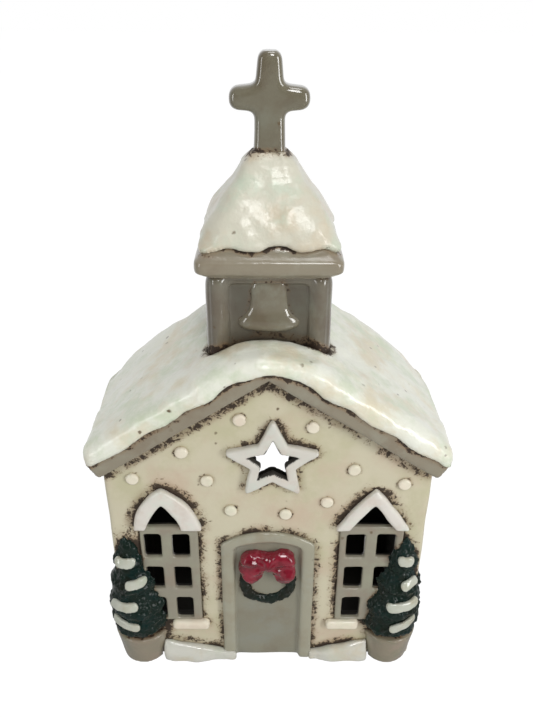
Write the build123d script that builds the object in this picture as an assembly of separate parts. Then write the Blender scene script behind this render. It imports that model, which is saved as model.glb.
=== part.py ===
from build123d import *
import os
from math import asin, cos, degrees, radians, sin, sqrt, tan

# A glazed ceramic tealight chapel with a snowy roof, a belfry and a cross, and the LED candle it holds.
# Lengths are in millimetres. The origin is on the table under the middle of the house, +Z is up,
# and the front with the door faces -Y.

# House shell
HOUSE_WIDTH = 127.7
HOUSE_DEPTH = 56.2
WALL = 5.0
FLOOR = 5.0
EAVE_HEIGHT = 104.8
MOUTH_WIDTH = 56.0
MOUTH_SPRING = 66.0

# Roof and its snow
ROOF_PITCH = radians(33.7)
ROOF_THICKNESS = 8.2
ROOF_END_OVERHANG = 6.0
ROOF_SIDE_OVERHANG = 0.2
ROOF_END_RAKE = 4.2
ROOF_RIDGE_RADIUS = 21.0
ROOF_CORNER_RADIUS = 1.5
SNOW_THICKNESS = 4.5
SNOW_LIP = 1.2
SNOW_END_LIP = 0.2
SNOW_DROOP = 3.2
SNOW_RIDGE_RADIUS = 38.0
SNOW_ROUND = 3.2

# Belfry tower and bell
TOWER_WIDTH = 44.7
TOWER_DEPTH = 40.0
TOWER_SETBACK = 2.8
TOWER_RISE = 31.7
TOWER_WALL = 6.5
TOWER_CORNER = 3.6
TOWER_POST = 7.3
TOWER_LINTEL = 2.0
PANEL_DEPTH = 3.4
BELL_WIDTH = 22.0
BELL_CROWN = 10.0
BELL_HEIGHT = 17.8
BELL_THICKNESS = 3.2
BELL_LIP = 2.2

# Belfry cap, its snow and the cross
CAP_OVERHANG = 3.4
CAP_COVE = 2.8
CAP_FASCIA = 3.6
CAP_RISE = 31.3
CAP_CORNER = 3.0
CAP_SNOW_CORNER = 8.0
CROSS_HEIGHT = 33.5
CROSS_SPAN = 26.4
CROSS_DEPTH = 8.4
CROSS_FOOT = 10.6
CROSS_STEM = 9.3
CROSS_NECK = 8.8
CROSS_TIP = 7.0
CROSS_ARM = 6.2
CROSS_ARM_ROOT = 8.0
CROSS_ARM_HEIGHT = 19.0
CROSS_CORNER = 2.6
CROSS_ROUND = 1.8

# Door, wreath and bow
DOOR_WIDTH = 28.4
DOOR_RISE = 3.0
DOOR_CORNER = 3.0
DOOR_THICKNESS = 3.6
DOOR_SETBACK = 0.4
SURROUND_WIDTH = 4.8
SURROUND_TOP = 5.0
SURROUND_SHOULDER = 1.7
SURROUND_PROUD = 1.9
WREATH_RADIUS = 9.9
WREATH_ROLL = 2.2
BOW_WIDTH = 21.0
BOW_THICKNESS = 4.4

# Windows
WINDOW_PROUD = 0.8
LATTICE_DEPTH = 3.0
PANE_ROWS = 3
PANE_CORNER = 1.2
HOOD_OVERHANG = 1.7
HOOD_CROWN = 2.8
HOOD_PROUD = 2.8
SILL_HEIGHT = 4.8
SILL_PROUD = 2.8
SILL_CLEARANCE = 6.4

# Star and snow dots
STAR_RADIUS = 18.6
STAR_HOLE_RADIUS = 10.8
STAR_WALL_RADIUS = 13.0
STAR_PROUD = 2.6
STAR_TIP_ROUND = 0.7
DOT_RADIUS = 2.3
DOT_PROUD = 1.1

# Potted fir trees and drifts
TREE_HEIGHT = 55.4
TREE_RADIUS = 13.4
TREE_PROUD = 7.6
TREE_LEAN = 3.4
TREE_SNOW = 1.0
POT_HEIGHT = 16.4
POT_RIM_RADIUS = 12.2
POT_FOOT_RADIUS = 9.7
POT_PROUD = 7.1
DRIFT_HEIGHT = 10.2
DRIFT_PROUD = 4.2

# LED candle
CANDLE_RADIUS = 18.75
CANDLE_HEIGHT = 17.5
CANDLE_SKIN = 1.2
CANDLE_DISH = 2.0
CANDLE_BASE = 1.8
FLAME_RADIUS = 4.2
FLAME_HEIGHT = 22.0
FLAME_SKIN = 1.0
FLAME_FLANGE = 1.2
CELL_RADIUS = 10.0
CELL_HEIGHT = 3.2
CELL_CUP_WALL = 1.4
CELL_TO_BOARD = 1.6
BOARD_RADIUS = 13.0
BOARD_THICKNESS = 1.0
LED_RADIUS = 2.5
LED_HEIGHT = 4.0
LED_FLANGE = 0.5
HATCH_RADIUS = 10.8
HATCH_DEPTH = 1.2
HATCH_LIP = 0.6
HATCH_LUG = 0.6
HATCH_LUG_WIDTH = 8.0
HATCH_TURN = 60
COIN_SLOT_WIDTH = 1.6
COIN_SLOT_LENGTH = 12.0
COIN_SLOT_DEPTH = 0.5
CONTACT_WIDTH = 4.0
CONTACT_LENGTH = 12.0
CONTACT_THICKNESS = 0.3
SWITCH_LENGTH = 3.0
SWITCH_WIDTH = 2.4
SWITCH_TRAVEL = 2.5
SWITCH_RADIUS = 14.5
SWITCH_FLANGE = 0.8

# Clearances and the overrun of cuts
SEAT_GAP = 0.1
RUNNING_GAP = 0.2
OVERRUN = 20.0

# Shares: places and outlines drawn by hand against the sizes they follow
DOOR_SPRING_SHARE = 0.6279
WREATH_HEIGHT_SHARE = 0.4323
STAR_PLACE_SHARE = 0.025
STAR_HEIGHT_SHARE = 1.0468
WINDOW_BOTTOM_SHARE = 0.2214
WINDOW_SPRING_SHARE = 0.7252
WINDOW_APEX_SHARE = 0.8874
LEFT_WINDOW_PLACE_SHARE = 0.473
RIGHT_WINDOW_PLACE_SHARE = 0.517
LEFT_WINDOW_WIDTH_SHARE = 0.522
RIGHT_WINDOW_WIDTH_SHARE = 0.566
LEFT_WINDOW_LEAN_SHARE = 0.040
RIGHT_WINDOW_LEAN_SHARE = 0.0
LEFT_PANE_DRIFT_SHARE = 0.026
RIGHT_PANE_DRIFT_SHARE = 0.0
PANE_WIDTH_SHARE = 0.316
MULLION_SHARE = 0.177
PANE_HEIGHT_SHARE = 0.245
PANE_RAIL_SHARE = 0.0926
PANE_FOOT_SHARE = 0.013
LEFT_TOP_PANE_SHARE = 0.62
RIGHT_TOP_PANE_SHARE = 0.725
TOP_PANE_FOOT_SHARE = 0.01
TOP_PANE_HEIGHT_SHARE = 0.765
TOP_PANE_BULGE_SHARE = 0.55
LEFT_TREE_PLACE_SHARE = 0.805
RIGHT_TREE_PLACE_SHARE = 0.765
LEFT_POT_PLACE_SHARE = 0.812
RIGHT_POT_PLACE_SHARE = 0.778
SNOW_DRIP_SHARES = [(0.0, 0.70), (0.09, 0.95), (0.19, 0.55), (0.30, 0.90), (0.42, 0.60),
                    (0.53, 1.00), (0.64, 0.62), (0.76, 0.92), (0.88, 0.60), (1.0, 0.85)]
BELL_SIDE_SHARES = [(0.0, 0.0), (0.20, 0.12), (0.33, 0.45), (0.52, 0.75), (1.0, 1.0)]
BELL_BELLY_SHARE = 0.05
CAP_CORE_SHARES = [(0.0, 1.0), (0.10, 0.86), (0.21, 0.765), (0.33, 0.675), (0.43, 0.59), (0.55, 0.485),
                   (0.70, 0.36), (0.85, 0.265), (1.0, 0.222)]
CAP_SNOW_SHARES = [(0.06, 0.962), (0.12, 0.93), (0.21, 0.85), (0.33, 0.76), (0.43, 0.675), (0.55, 0.57),
                   (0.70, 0.44), (0.85, 0.335), (1.03, 0.255)]
CAP_FRONT_EDGE_SHARES = [(-1.2, 0.06), (-0.85, 0.09), (-0.5, 0.17), (-0.2, 0.13), (0.1, 0.20),
                         (0.4, 0.14), (0.7, 0.17), (0.92, 0.09), (1.2, 0.06)]
CAP_SIDE_EDGE_SHARES = [(-1.2, 0.03), (-0.9, 0.05), (-0.5, 0.15), (0.0, 0.19), (0.5, 0.13), (0.9, 0.05),
                        (1.2, 0.03)]
STAR_TIP_TURNS = [0, 77, 145]
STAR_NOTCH_TURNS = [37, 110, 180]
STAR_NOTCH_SHARE = 0.48
LEFT_ARCH_BULGE_SHARE = 0.12
RIGHT_ARCH_BULGE_SHARE = 0.03
FRONT_DOT_SHARES = [(-0.824, 0.959), (-0.517, 1.077), (-0.168, 1.219), (0.257, 1.188), (-0.374, 0.949),
                    (-0.232, 0.807), (0.110, 0.789), (0.365, 0.848), (0.517, 1.0), (0.830, 0.935)]
SIDE_DOT_SHARES = [(-0.22, 0.28), (-0.30, 0.72), (0.08, 0.45), (0.34, 0.84), (0.64, 0.22), (0.70, 0.62)]
TREE_TIER_SHARES = [(0.70, 0.0), (0.99, 0.09), (0.86, 0.24), (0.93, 0.32), (0.65, 0.47), (0.74, 0.55),
                    (0.42, 0.69), (0.50, 0.77), (0.19, 0.93)]
LEFT_PAD_SHARES = [(0.40, 0.185, 0.95, 0.055, 8), (0.36, 0.375, 1.0, 0.058, -8), (-0.19, 0.60, 0.62, 0.056, -6),
                   (0.03, 0.80, 0.60, 0.060, 0)]
RIGHT_PAD_SHARES = [(0.30, 0.185, 0.85, 0.055, 16), (0.18, 0.385, 1.0, 0.058, 2),
                    (0.28, 0.60, 0.55, 0.058, 14), (0.03, 0.81, 0.46, 0.060, -4)]
BOW_LOOP_SHARES = [(0.10, 0.48), (0.20, 0.29), (0.34, 0.205), (0.46, 0.32), (0.50, 0.62), (0.48, 0.89),
                   (0.39, 0.97), (0.16, 0.945)]
BOW_NOTCH_SHARE = 0.63
BOW_DIP_SHARE = 0.91
BOW_HEIGHT_SHARE = 0.878
SILL_ROUND_SHARE = 0.33
PAD_ROUND_SHARE = 0.48
DRIFT_TOP_SHARES = [(0.0, 0.40), (0.30, 0.58), (0.65, 0.80), (1.0, 1.0)]
DRIFT_FRONT_SHARES = [(0.0, 0.72), (0.30, 0.90), (0.65, 1.0), (1.0, 0.86)]
DRIFT_BACK_SHARES = [(1.0, 0.0), (1.0, 0.34), (0.74, 0.70), (0.30, 1.0), (0.0, 1.0)]
FLAME_SHARES = [(1.0, 0.22), (0.98, 0.42), (0.72, 0.66), (0.34, 0.88), (0.0, 1.0)]
FLAME_HOLLOW_SHARE = 0.62
CONTACT_BEND_SHARES = [0.33, 0.75]

# Places that several pieces share
SLOPE = tan(ROOF_PITCH)
HALF_WIDTH = HOUSE_WIDTH / 2
FRONT = -HOUSE_DEPTH / 2
BACK = HOUSE_DEPTH / 2
UNDER_RIDGE = EAVE_HEIGHT + HALF_WIDTH * SLOPE
ROOF_FRONT = FRONT - ROOF_END_OVERHANG
ROOF_BACK = BACK + ROOF_END_OVERHANG
ROOF_UNDER_HALF = HALF_WIDTH + ROOF_SIDE_OVERHANG
ROOF_TOP_HALF = ROOF_UNDER_HALF + ROOF_END_RAKE
SNOW_HALF = ROOF_TOP_HALF + SNOW_END_LIP
TOWER_TOP = UNDER_RIDGE + TOWER_RISE
TOWER_FRONT = TOWER_SETBACK - TOWER_DEPTH / 2
CAP_EAVE = TOWER_TOP + CAP_COVE + CAP_FASCIA
CAP_HALF_WIDTH = TOWER_WIDTH / 2 + CAP_OVERHANG
CAP_HALF_DEPTH = TOWER_DEPTH / 2 + CAP_OVERHANG
CROSS_BASE = CAP_EAVE + CAP_RISE
DOOR_SPRING = EAVE_HEIGHT * DOOR_SPRING_SHARE
DOOR_APEX = DOOR_SPRING + DOOR_RISE
DOOR_FACE = FRONT + DOOR_SETBACK
WREATH_HEIGHT = EAVE_HEIGHT * WREATH_HEIGHT_SHARE
BOW_HEIGHT = (DOOR_SPRING - WREATH_HEIGHT) * BOW_HEIGHT_SHARE
STAR_X = HALF_WIDTH * STAR_PLACE_SHARE
STAR_HEIGHT = EAVE_HEIGHT * STAR_HEIGHT_SHARE
BAY_START = DOOR_WIDTH / 2 + SURROUND_WIDTH
BAY_WIDTH = HALF_WIDTH - BAY_START
WINDOW_BOTTOM = EAVE_HEIGHT * WINDOW_BOTTOM_SHARE
WINDOW_SPRING = EAVE_HEIGHT * WINDOW_SPRING_SHARE
WINDOW_APEX = EAVE_HEIGHT * WINDOW_APEX_SHARE
HEAD_HEIGHT = WINDOW_APEX - WINDOW_SPRING
TOP_PANE_BASE = WINDOW_SPRING + HEAD_HEIGHT * TOP_PANE_FOOT_SHARE
TOP_PANE_APEX = TOP_PANE_BASE + HEAD_HEIGHT * TOP_PANE_HEIGHT_SHARE
TREE_X = {-1: BAY_START + BAY_WIDTH * LEFT_TREE_PLACE_SHARE, 1: BAY_START + BAY_WIDTH * RIGHT_TREE_PLACE_SHARE}
POT_X = {-1: BAY_START + BAY_WIDTH * LEFT_POT_PLACE_SHARE, 1: BAY_START + BAY_WIDTH * RIGHT_POT_PLACE_SHARE}
CANDLE_TOP = FLOOR + CANDLE_HEIGHT
BASE_TOP = FLOOR + CANDLE_BASE
CELL_BOTTOM = FLOOR + HATCH_DEPTH
CELL_TOP = CELL_BOTTOM + CELL_HEIGHT
CELL_CUP_RADIUS = CELL_RADIUS + CONTACT_THICKNESS + 2 * SEAT_GAP
BOARD_BOTTOM = CELL_TOP + CELL_TO_BOARD
BOARD_TOP = BOARD_BOTTOM + BOARD_THICKNESS
FLANGE_TOP = CANDLE_TOP - CANDLE_DISH - CANDLE_SKIN


class Window:
    """Place and outline of one window in its bay, its head leaning out towards the wall's corner."""

    def __init__(self, side, place_share, width_share, bulge_share, top_pane_share, lean_share, drift_share):
        self.x = side * (BAY_START + BAY_WIDTH * place_share)
        self.width = BAY_WIDTH * width_share
        self.bulge_share = bulge_share
        self.top_pane_width = self.width * top_pane_share
        self.lean = side * BAY_WIDTH * lean_share
        self.pane_drift = side * BAY_WIDTH * drift_share


LEFT_WINDOW = Window(-1, LEFT_WINDOW_PLACE_SHARE, LEFT_WINDOW_WIDTH_SHARE, LEFT_ARCH_BULGE_SHARE,
                     LEFT_TOP_PANE_SHARE, LEFT_WINDOW_LEAN_SHARE, LEFT_PANE_DRIFT_SHARE)
RIGHT_WINDOW = Window(1, RIGHT_WINDOW_PLACE_SHARE, RIGHT_WINDOW_WIDTH_SHARE, RIGHT_ARCH_BULGE_SHARE,
                      RIGHT_TOP_PANE_SHARE, RIGHT_WINDOW_LEAN_SHARE, RIGHT_PANE_DRIFT_SHARE)
SIDES = (("left", -1, LEFT_WINDOW, LEFT_PAD_SHARES, DOOR_WIDTH / 2),
         ("right", 1, RIGHT_WINDOW, RIGHT_PAD_SHARES, BAY_START))


def facing(y):
    """Plane facing the viewer, with X to the right and Z up."""
    return Plane(origin=(0, y, 0), x_dir=(1, 0, 0), z_dir=(0, -1, 0))


def slab(outline, front, back):
    """Solid between two depths, from an outline drawn in X and Z."""
    return extrude(facing(back) * outline, amount=back - front)


def roof_height(x, lift, ridge_radius):
    """Height of a surface lifted square to the roof's underside, with its ridge rounded."""
    if abs(x) >= ridge_radius * sin(ROOF_PITCH):
        return UNDER_RIDGE + lift / cos(ROOF_PITCH) - SLOPE * abs(x)
    return UNDER_RIDGE + (lift - ridge_radius) / cos(ROOF_PITCH) + sqrt(ridge_radius**2 - x**2)


def under_roof(half_width, bottom, lift, ridge_radius):
    """Outline below a roof surface, down to a level floor."""
    eave = roof_height(half_width, lift, 0)
    ridge = roof_height(0, lift, 0)
    outline = make_face(Polyline((-half_width, bottom), (half_width, bottom), (half_width, eave), (0, ridge),
                                 (-half_width, eave), close=True))
    if ridge_radius:
        outline = fillet(outline.vertices().sort_by(Axis.Y)[-1], ridge_radius)
    return outline


def arched(width, bottom, spring, apex):
    """Doorway outline with a round or flattened head."""
    half = width / 2
    return make_face([Line((-half, bottom), (half, bottom)), Line((half, bottom), (half, spring)),
                      ThreePointArc((half, spring), (0, apex), (-half, spring)),
                      Line((-half, spring), (-half, bottom))])


def door_outline():
    """Low arch of the door, its upper corners rounded."""
    outline = arched(DOOR_WIDTH, 0, DOOR_SPRING, DOOR_APEX)
    return fillet(outline.vertices().filter_by_position(Axis.Y, 1, DOOR_APEX), DOOR_CORNER)


def pointed(x, width, base, apex, bulge_share, lean):
    """Pointed arch head on a level base, its sides bulging outwards and its apex leaning to one side."""
    half, rise = width / 2, apex - base
    bulge_x = half / 2 + bulge_share * rise
    bulge_z = (base + apex) / 2 + bulge_share * half
    return make_face([Line((x - half, base), (x + half, base)),
                      ThreePointArc((x + half, base), (x + lean / 2 + bulge_x, bulge_z), (x + lean, apex)),
                      ThreePointArc((x + lean, apex), (x + lean / 2 - bulge_x, bulge_z), (x - half, base))])


def star(radius):
    """Upright hand-drawn star outline about the gable's star place, the same on both sides."""
    right = []
    for tip_turn, notch_turn in zip(STAR_TIP_TURNS, STAR_NOTCH_TURNS):
        for turn, reach in ((tip_turn, radius), (notch_turn, radius * STAR_NOTCH_SHARE)):
            right.append((reach * sin(radians(turn)), STAR_HEIGHT + reach * cos(radians(turn))))
    points = [(STAR_X + x, z) for x, z in right] + [(STAR_X - x, z) for x, z in reversed(right[1:-1])]
    return make_face(Polyline(*points, close=True))


def window_outline(window):
    """Outline of a window lattice: a tall rectangle with a pointed head."""
    height = WINDOW_SPRING - WINDOW_BOTTOM
    body = Pos(window.x, WINDOW_BOTTOM + height / 2) * Rectangle(window.width, height)
    return body + pointed(window.x, window.width, WINDOW_SPRING, WINDOW_APEX, window.bulge_share, window.lean)


def house_block():
    """The room the four walls stand round, walls included, used to cut what leans on them."""
    return Pos(0, 0, EAVE_HEIGHT / 2) * Box(HOUSE_WIDTH, HOUSE_DEPTH, EAVE_HEIGHT)


def front_wall():
    wall = slab(under_roof(HALF_WIDTH, 0, 0, 0), FRONT, FRONT + WALL)
    cuts = door_outline() + star(STAR_WALL_RADIUS)
    for window in (LEFT_WINDOW, RIGHT_WINDOW):
        cuts += window_outline(window)
    return wall - slab(cuts, FRONT - OVERRUN, FRONT + WALL + OVERRUN)


def back_wall():
    wall = slab(under_roof(HALF_WIDTH, 0, 0, 0), BACK - WALL, BACK)
    mouth = arched(MOUTH_WIDTH, FLOOR, MOUTH_SPRING, MOUTH_SPRING + MOUTH_WIDTH / 2)
    return wall - slab(mouth, BACK - WALL - OVERRUN, BACK + OVERRUN)


def side_wall(side):
    outer, inner = side * HALF_WIDTH, side * (HALF_WIDTH - WALL)
    outline = make_face(Polyline((inner, 0), (outer, 0), (outer, roof_height(outer, 0, 0)),
                                 (inner, roof_height(inner, 0, 0)), close=True))
    return slab(outline, FRONT + WALL, BACK - WALL)


def floor_slab():
    return Pos(0, 0, FLOOR / 2) * Box(HOUSE_WIDTH - 2 * WALL, HOUSE_DEPTH - 2 * WALL, FLOOR)


def roof_slab():
    under, top = ROOF_UNDER_HALF, ROOF_TOP_HALF
    low, high = roof_height(under, 0, 0), roof_height(top, ROOF_THICKNESS, 0)
    outline = make_face(Polyline((-under, low), (0, UNDER_RIDGE), (under, low), (top, high),
                                 (0, roof_height(0, ROOF_THICKNESS, 0)), (-top, high), close=True))
    outline = fillet(outline.vertices().sort_by(Axis.Y)[-1], ROOF_RIDGE_RADIUS)
    outline = fillet(outline.vertices().sort_by(Axis.Y)[:2], ROOF_CORNER_RADIUS)
    return slab(outline, ROOF_FRONT, ROOF_BACK)


def snow_bottom():
    """Wavy lower edge of the snow, from the right eave over the ridge to the left eave."""
    points = []
    for side, shares in ((1, reversed(SNOW_DRIP_SHARES)), (-1, SNOW_DRIP_SHARES[1:])):
        for along_share, droop_share in shares:
            x = side * along_share * SNOW_HALF
            points.append((x, roof_height(x, ROOF_THICKNESS, ROOF_RIDGE_RADIUS) - SNOW_DROOP * droop_share))
    return points


def roof_snow():
    lift = ROOF_THICKNESS + SNOW_THICKNESS
    bottom = snow_bottom()
    eave = roof_height(SNOW_HALF, lift, 0)
    ridge = (0, roof_height(0, lift, 0))
    left_eave, right_eave = (-SNOW_HALF, eave), (SNOW_HALF, eave)
    outline = make_face([Spline(*bottom), Line(bottom[-1], left_eave), Line(left_eave, ridge),
                         Line(ridge, right_eave), Line(right_eave, bottom[0])])
    outline = fillet(outline.vertices().sort_by(Axis.Y)[-1], SNOW_RIDGE_RADIUS)
    corners = outline.vertices().group_by(Axis.X)
    outline = fillet([corners[0].sort_by(Axis.Y)[-1], corners[-1].sort_by(Axis.Y)[-1]], SNOW_ROUND)
    front, back = ROOF_FRONT - SNOW_LIP, ROOF_BACK + SNOW_LIP
    snow = slab(outline, front, back)
    levels = snow.edges().group_by(Axis.Y)
    rims = (levels[0] + levels[-1]).filter_by(lambda edge: edge.geom_type != GeomType.BSPLINE)
    snow = fillet(rims, SNOW_ROUND)
    return snow - roof_slab() - tower_block(SEAT_GAP)


def tower_block(grow):
    """Outer form of the belfry, from inside the roof to its top."""
    plan = RectangleRounded(TOWER_WIDTH + 2 * grow, TOWER_DEPTH + 2 * grow, TOWER_CORNER + grow)
    return extrude(Pos(0, TOWER_SETBACK, EAVE_HEIGHT) * plan, amount=TOWER_TOP - EAVE_HEIGHT)


def belfry_tower():
    tall = TOWER_TOP - EAVE_HEIGHT
    bore = Pos(0, TOWER_SETBACK, EAVE_HEIGHT + tall / 2) * Box(TOWER_WIDTH - 2 * TOWER_WALL,
                                                              TOWER_DEPTH - 2 * TOWER_WALL, tall)
    tower = tower_block(0) - bore
    top = TOWER_TOP - TOWER_LINTEL
    middle = Pos(0, TOWER_SETBACK, top / 2)
    core = middle * Box(TOWER_WIDTH - 2 * PANEL_DEPTH, TOWER_DEPTH - 2 * PANEL_DEPTH, top)
    front_and_back = middle * Box(TOWER_WIDTH - 2 * TOWER_POST, TOWER_DEPTH + OVERRUN, top)
    both_sides = middle * Box(TOWER_WIDTH + OVERRUN, TOWER_DEPTH - 2 * TOWER_POST, top)
    tower -= (front_and_back - core) + (both_sides - core)
    below = under_roof(ROOF_TOP_HALF, 0, ROOF_THICKNESS, ROOF_RIDGE_RADIUS)
    return tower - slab(below, ROOF_FRONT, ROOF_BACK)


def bell():
    top = TOWER_TOP - TOWER_LINTEL
    bottom, brim = top - BELL_HEIGHT, top - BELL_HEIGHT + BELL_LIP
    right = []
    for out_share, down_share in BELL_SIDE_SHARES:
        x = BELL_CROWN / 2 + (BELL_WIDTH - BELL_CROWN) / 2 * out_share
        right.append((x, top - (top - brim) * down_share))
    left = [(-x, z) for x, z in right]
    right_foot, left_foot = (BELL_WIDTH / 2, bottom), (-BELL_WIDTH / 2, bottom)
    belly = (0, bottom - BELL_WIDTH * BELL_BELLY_SHARE)
    outline = make_face([Line(left[0], right[0]), Spline(*right), Line(right[-1], right_foot),
                         ThreePointArc(right_foot, belly, left_foot), Line(left_foot, left[-1]),
                         Spline(*left)])
    back = TOWER_FRONT + PANEL_DEPTH
    return slab(outline, back - BELL_THICKNESS, back)


def cap_section(height, share, corner):
    """One level of the belfry cap, a rounded rectangle that shrinks towards the cross."""
    width, depth = 2 * CAP_HALF_WIDTH * share, 2 * CAP_HALF_DEPTH * share
    return Pos(0, TOWER_SETBACK, height) * RectangleRounded(width, depth, corner * share)


def cap_loft(shares, corner):
    return loft([cap_section(CAP_EAVE + CAP_RISE * rise_share, share, corner) for rise_share, share in shares])


def tower_cap():
    foot = Pos(0, TOWER_SETBACK, TOWER_TOP) * RectangleRounded(TOWER_WIDTH, TOWER_DEPTH, TOWER_CORNER)
    cove = loft([foot, cap_section(TOWER_TOP + CAP_COVE, 1, CAP_CORNER)])
    fascia = extrude(cap_section(TOWER_TOP + CAP_COVE, 1, CAP_CORNER), amount=CAP_FASCIA)
    return cove + fascia + cap_loft(CAP_CORE_SHARES, CAP_CORNER)


def above_edge(shares, half):
    """Outline above the wavy lower edge of the cap's snow."""
    points = [(half * along_share, CAP_EAVE + CAP_RISE * up_share) for along_share, up_share in shares]
    first, last, top = points[0], points[-1], CROSS_BASE + CROSS_HEIGHT
    return make_face([Spline(*points), Line(last, (last[0], top)), Line((last[0], top), (first[0], top)),
                      Line((first[0], top), first)])


def tower_cap_snow():
    reach = CAP_HALF_WIDTH + CAP_HALF_DEPTH
    front_edge = slab(above_edge(CAP_FRONT_EDGE_SHARES, CAP_HALF_WIDTH), -reach, reach)
    side_edge = slab(above_edge(CAP_SIDE_EDGE_SHARES, CAP_HALF_DEPTH), -reach, reach)
    side_edge = Pos(0, TOWER_SETBACK, 0) * Rot(0, 0, 90) * side_edge
    snow = cap_loft(CAP_SNOW_SHARES, CAP_SNOW_CORNER) & front_edge & side_edge
    foot = Box(CROSS_FOOT + 2 * SEAT_GAP, CROSS_DEPTH + 2 * SEAT_GAP, OVERRUN)
    return snow - cap_loft(CAP_CORE_SHARES, CAP_CORNER) - Pos(0, TOWER_SETBACK, CROSS_BASE) * foot


def cross():
    arms, tip = CROSS_BASE + CROSS_ARM_HEIGHT, CROSS_BASE + CROSS_HEIGHT
    right = [(CROSS_FOOT / 2, CROSS_BASE), (CROSS_STEM / 2, arms - CROSS_ARM_ROOT / 2),
             (CROSS_SPAN / 2, arms - CROSS_ARM / 2), (CROSS_SPAN / 2, arms + CROSS_ARM / 2),
             (CROSS_NECK / 2, arms + CROSS_ARM_ROOT / 2), (CROSS_TIP / 2, tip)]
    outline = make_face(Polyline(*right, *[(-x, z) for x, z in reversed(right)], close=True))
    outline = fillet([v for v in outline.vertices() if v.Y > CROSS_BASE + CROSS_ROUND], CROSS_CORNER)
    front = TOWER_SETBACK - CROSS_DEPTH / 2
    solid = slab(outline, front, front + CROSS_DEPTH)
    levels = solid.edges().group_by(Axis.Y)
    rims = [edge for edge in levels[0] + levels[-1] if edge.center().Z > CROSS_BASE + CROSS_ROUND]
    return fillet(rims, CROSS_ROUND)


def door_panel():
    return slab(door_outline(), DOOR_FACE, DOOR_FACE + DOOR_THICKNESS)


def door_surround():
    outer = arched(2 * BAY_START, 0, DOOR_SPRING + SURROUND_SHOULDER, DOOR_APEX + SURROUND_TOP)
    return slab(outer - door_outline(), FRONT - SURROUND_PROUD, FRONT)


def wreath():
    ring = Pos(0, DOOR_FACE, WREATH_HEIGHT) * Rot(90, 0, 0) * Torus(WREATH_RADIUS, WREATH_ROLL)
    return split(ring, bisect_by=facing(DOOR_FACE), keep=Keep.TOP)


def bow():
    right = [(BOW_WIDTH * x, WREATH_HEIGHT + BOW_HEIGHT * z) for x, z in BOW_LOOP_SHARES]
    left = [(-x, z) for x, z in reversed(right)]
    notch = (0, WREATH_HEIGHT + BOW_HEIGHT * BOW_NOTCH_SHARE)
    dip = (0, WREATH_HEIGHT + BOW_HEIGHT * BOW_DIP_SHARE)
    outline = make_face(Spline(notch, *right, dip, *left, periodic=True))
    return slab(outline, DOOR_FACE - BOW_THICKNESS, DOOR_FACE) - wreath()


def window_lattice(window):
    tall = WINDOW_SPRING - WINDOW_BOTTOM
    pane_width, pane_height = window.width * PANE_WIDTH_SHARE, tall * PANE_HEIGHT_SHARE
    pitch = pane_height + tall * PANE_RAIL_SHARE
    first = WINDOW_BOTTOM + tall * PANE_FOOT_SHARE + pane_height / 2
    middle, from_middle = window.x + window.pane_drift, (pane_width + window.width * MULLION_SHARE) / 2
    outline = window_outline(window)
    for column in (-1, 1):
        for row in range(PANE_ROWS):
            place = Pos(middle + column * from_middle, first + row * pitch)
            outline -= place * RectangleRounded(pane_width, pane_height, PANE_CORNER)
    top_middle, bulge_share = window.x + window.lean, window.bulge_share * TOP_PANE_BULGE_SHARE
    outline -= pointed(top_middle, window.top_pane_width, TOP_PANE_BASE, TOP_PANE_APEX, bulge_share, 0)
    return slab(outline, FRONT - WINDOW_PROUD, FRONT - WINDOW_PROUD + LATTICE_DEPTH)


def window_hood(window):
    outer_width, crown = window.width + 2 * HOOD_OVERHANG, WINDOW_APEX + HOOD_CROWN
    outer = pointed(window.x, outer_width, WINDOW_SPRING, crown, window.bulge_share, window.lean)
    widening = window.top_pane_width / HEAD_HEIGHT / TOP_PANE_HEIGHT_SHARE
    inner_width = window.top_pane_width + (TOP_PANE_BASE - WINDOW_SPRING) * widening
    top_middle, bulge_share = window.x + window.lean, window.bulge_share * TOP_PANE_BULGE_SHARE
    inner = pointed(top_middle, inner_width, WINDOW_SPRING, TOP_PANE_APEX, bulge_share, 0)
    return slab(outer - inner, FRONT - HOOD_PROUD, FRONT) - window_lattice(window)


def window_sill(side):
    inner = BAY_START + SILL_CLEARANCE
    outer = TREE_X[side] - TREE_RADIUS - RUNNING_GAP
    place = Pos(side * (inner + outer) / 2, WINDOW_BOTTOM - SILL_HEIGHT / 2)
    plan = RectangleRounded(outer - inner, SILL_HEIGHT, SILL_HEIGHT * SILL_ROUND_SHARE)
    roll = slab(place * plan, FRONT - SILL_PROUD, FRONT)
    return fillet(roll.edges().group_by(Axis.Y)[0], SILL_PROUD / 2)


def star_surround():
    outer = star(STAR_RADIUS)
    middle = Vector(STAR_X, STAR_HEIGHT)
    inside = STAR_RADIUS - STAR_TIP_ROUND
    tips = [v for v in outer.vertices() if (Vector(v.X, v.Y) - middle).length > inside]
    return slab(fillet(tips, STAR_TIP_ROUND) - star(STAR_HOLE_RADIUS), FRONT - STAR_PROUD, FRONT)


def dot():
    """One snow dot, flat at the back, standing out towards -Y."""
    pad = extrude(facing(0) * Circle(DOT_RADIUS), amount=DOT_PROUD)
    rim = pad.edges().sort_by(Axis.Y)[0]
    return fillet(rim, DOT_PROUD / 2)


def snow_dots():
    dots = []
    for x_share, z_share in FRONT_DOT_SHARES:
        dots.append(Pos(HALF_WIDTH * x_share, FRONT, EAVE_HEIGHT * z_share) * dot())
    for side in (-1, 1):
        for y_share, z_share in SIDE_DOT_SHARES:
            place = Pos(side * HALF_WIDTH, BACK * y_share, EAVE_HEIGHT * z_share)
            dots.append(place * Rot(0, 0, side * 90) * dot())
    return Compound(children=dots)


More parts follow.
